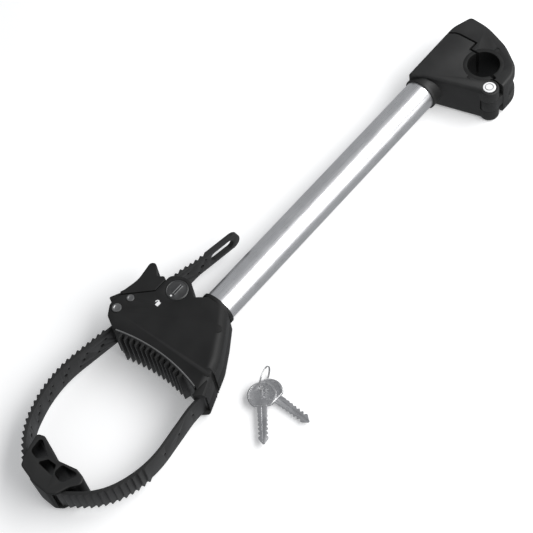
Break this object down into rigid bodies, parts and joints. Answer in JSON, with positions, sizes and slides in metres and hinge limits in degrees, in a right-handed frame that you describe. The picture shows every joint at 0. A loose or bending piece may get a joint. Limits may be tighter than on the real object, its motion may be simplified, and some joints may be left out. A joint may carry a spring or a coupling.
{
  "type": "lockable holder arm with bar clamp and ratchet strap",
  "caption": "Lockable holder arm: a hinged bar clamp on a round tube, a housing with a ribbed saddle, a toothed ratchet strap with lever, a key lock, a pad on the strap, and keys on a ring.",
  "frame": {"origin": "middle of the bar bore, on the mid-plane of the clamp", "axes": "+Z along the bar bore, up as the arm lies on its flat side; +X along the tube from the clamp to the ratchet housing; +Y on the bar's side of the tube"},
  "size_m": [0.6, 0.2031, 0.0412],
  "materials": {
    "black_plastic": "fine moulded grain, matte",
    "satin_aluminium": "satin anodised, drawn along the tube",
    "zinc_steel": "zinc plated, slightly dull",
    "bright_pin": "bright polished end",
    "liner_rubber": "matte rubber",
    "black_rubber": "soft matte rubber",
    "strap_plastic": "flexible moulded plastic, semi-matte",
    "lock_zinc": "dark grey die cast",
    "lock_face": "dark grey, fine grain",
    "white_mark": "white inlay",
    "nickel": "nickel plated, fine vertical brushing"
  },
  "bodies": {
    "arm": {"arm_tube": "satin_aluminium", "tube_screws": "zinc_steel", "clamp_body": "black_plastic", "clamp_hinge_pin": "bright_pin", "bar_liner_body": "liner_rubber", "clamp_nut": "zinc_steel", "housing_shell_top": "black_plastic", "housing_shell_bottom": "black_plastic", "housing_screws": "zinc_steel", "saddle_pad": "black_rubber", "strap_loop": "strap_plastic", "strap_anchor_pin": "zinc_steel", "lever_pivot_pin": "zinc_steel", "lever_pin_clip": "zinc_steel", "holding_pawl_pin": "zinc_steel", "holding_pin_clip": "zinc_steel", "lock_barrel": "lock_zinc", "lock_mark": "white_mark"},
    "jaw": {"clamp_jaw": "black_plastic", "bar_liner_jaw": "liner_rubber"},
    "jaw_bolt": {"clamp_bolt": "zinc_steel", "clamp_washer": "zinc_steel"},
    "lever": {"ratchet_lever": "black_plastic", "drive_pawl_pin": "zinc_steel"},
    "drive_pawl": {"drive_pawl": "zinc_steel"},
    "holding_pawl": {"holding_pawl": "zinc_steel"},
    "lock_plug": {"lock_plug": "lock_face", "lock_index_dot": "white_mark", "lock_cam": "zinc_steel"},
    "lock_bolt": {"lock_bolt": "zinc_steel"},
    "strap_tail": {"strap_tail": "strap_plastic"},
    "strap_pad": {"strap_pad": "black_rubber"},
    "key_ring": {"key_ring": "nickel"},
    "key_1": {"key_1": "nickel"},
    "key_2": {"key_2": "nickel"}
  },
  "joints": [
    {"name": "jaw_hinge", "type": "hinge", "parent": "arm", "child": "jaw", "pos_m": [0.0193, 0.0205, 0], "axis": [0, 0, -1], "range_deg": [0, 75]},
    {"name": "jaw_bolt_travel", "type": "slide", "parent": "jaw", "child": "jaw_bolt", "axis": [1, 0, 0], "range_m": [0, 0.0088]},
    {"name": "lever_hinge", "type": "hinge", "parent": "arm", "child": "lever", "pos_m": [0.3985, -0.098, 0], "axis": [0, 0, 1], "range_deg": [0, 55]},
    {"name": "drive_pawl_hinge", "type": "hinge", "parent": "lever", "child": "drive_pawl", "pos_m": [0.389, -0.0997, 0], "axis": [0, 0, -1], "range_deg": [0, 12]},
    {"name": "holding_pawl_hinge", "type": "hinge", "parent": "arm", "child": "holding_pawl", "pos_m": [0.384, -0.0953, 0], "axis": [0, 0, 1], "range_deg": [0, 15]},
    {"name": "lock_turn", "type": "hinge", "parent": "arm", "child": "lock_plug", "pos_m": [0.3538, -0.0675, 0], "axis": [0, 0, -1], "range_deg": [0, 90]},
    {"name": "lock_bolt_travel", "type": "slide", "parent": "arm", "child": "lock_bolt", "axis": [0, -1, 0], "range_m": [0, 0.006]},
    {"name": "strap_feed", "type": "slide", "parent": "arm", "child": "strap_tail", "axis": [-0.9887, 0.1502, 0], "range_m": [0, 0.028]},
    {"name": "pad_slide", "type": "slide", "parent": "arm", "child": "strap_pad", "axis": [0, 1, 0], "range_m": [-0.005, 0.005]},
    {"name": "keyring_lift", "type": "slide", "parent": "arm", "child": "key_ring", "axis": [0, 0, 1], "range_m": [0, 0.05]},
    {"name": "key_1_swing", "type": "hinge", "parent": "key_ring", "child": "key_1", "pos_m": [0.37105, 0.0387, -0.0153], "axis": [0, 0, 1], "range_deg": [-20, 12]},
    {"name": "key_2_swing", "type": "hinge", "parent": "key_ring", "child": "key_2", "pos_m": [0.36988, 0.03797, -0.0172], "axis": [0, 0, 1], "range_deg": [-12, 20]}
  ],
  "couplings": [
    {"joint": "lock_bolt_travel", "follows": "lock_turn", "m_per_rad": 0.0038197}
  ]
}
